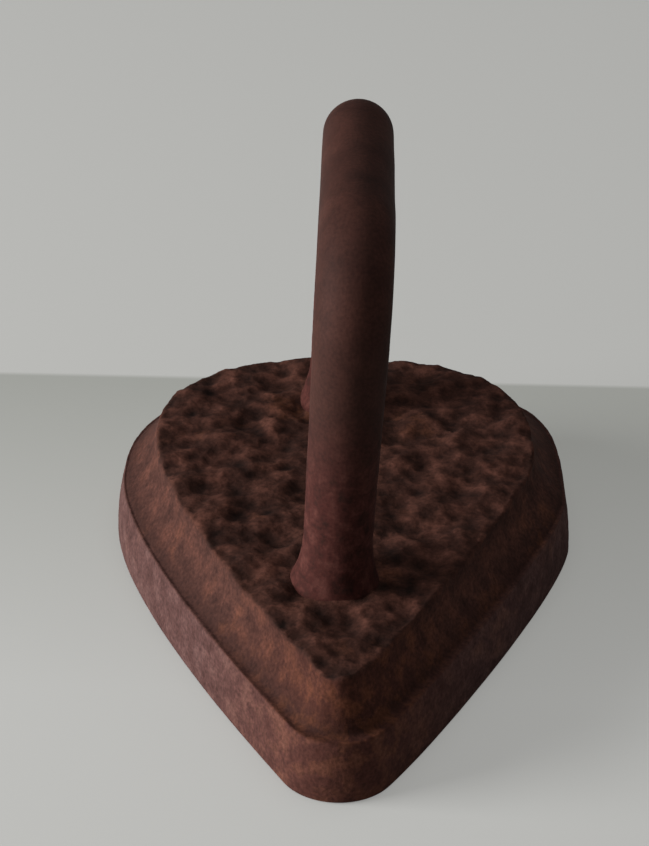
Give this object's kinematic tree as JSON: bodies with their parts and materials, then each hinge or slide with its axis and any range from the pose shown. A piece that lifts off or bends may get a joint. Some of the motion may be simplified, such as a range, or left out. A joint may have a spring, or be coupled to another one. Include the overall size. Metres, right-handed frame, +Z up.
{
  "type": "flat iron",
  "caption": "Solid cast flat iron for laundry with a pointed two-tier body and an upright loop handle of round wrought bar.",
  "frame": {"origin": "centre of the sole's length and width, on the sole's face", "axes": "+Z up from the sole, -Y towards the pointed nose, +Y towards the round back, +X to the right as seen from in front of the nose, looking at the back"},
  "size_m": [0.116, 0.164, 0.1174],
  "materials": {
    "cast_body": "rough sand-cast and evenly rusted dark brown",
    "wrought_bar": "rusted reddish brown and worn smooth along the grip"
  },
  "bodies": {
    "root": {"iron_body": "cast_body", "bar_handle": "wrought_bar"}
  },
  "joints": []
}
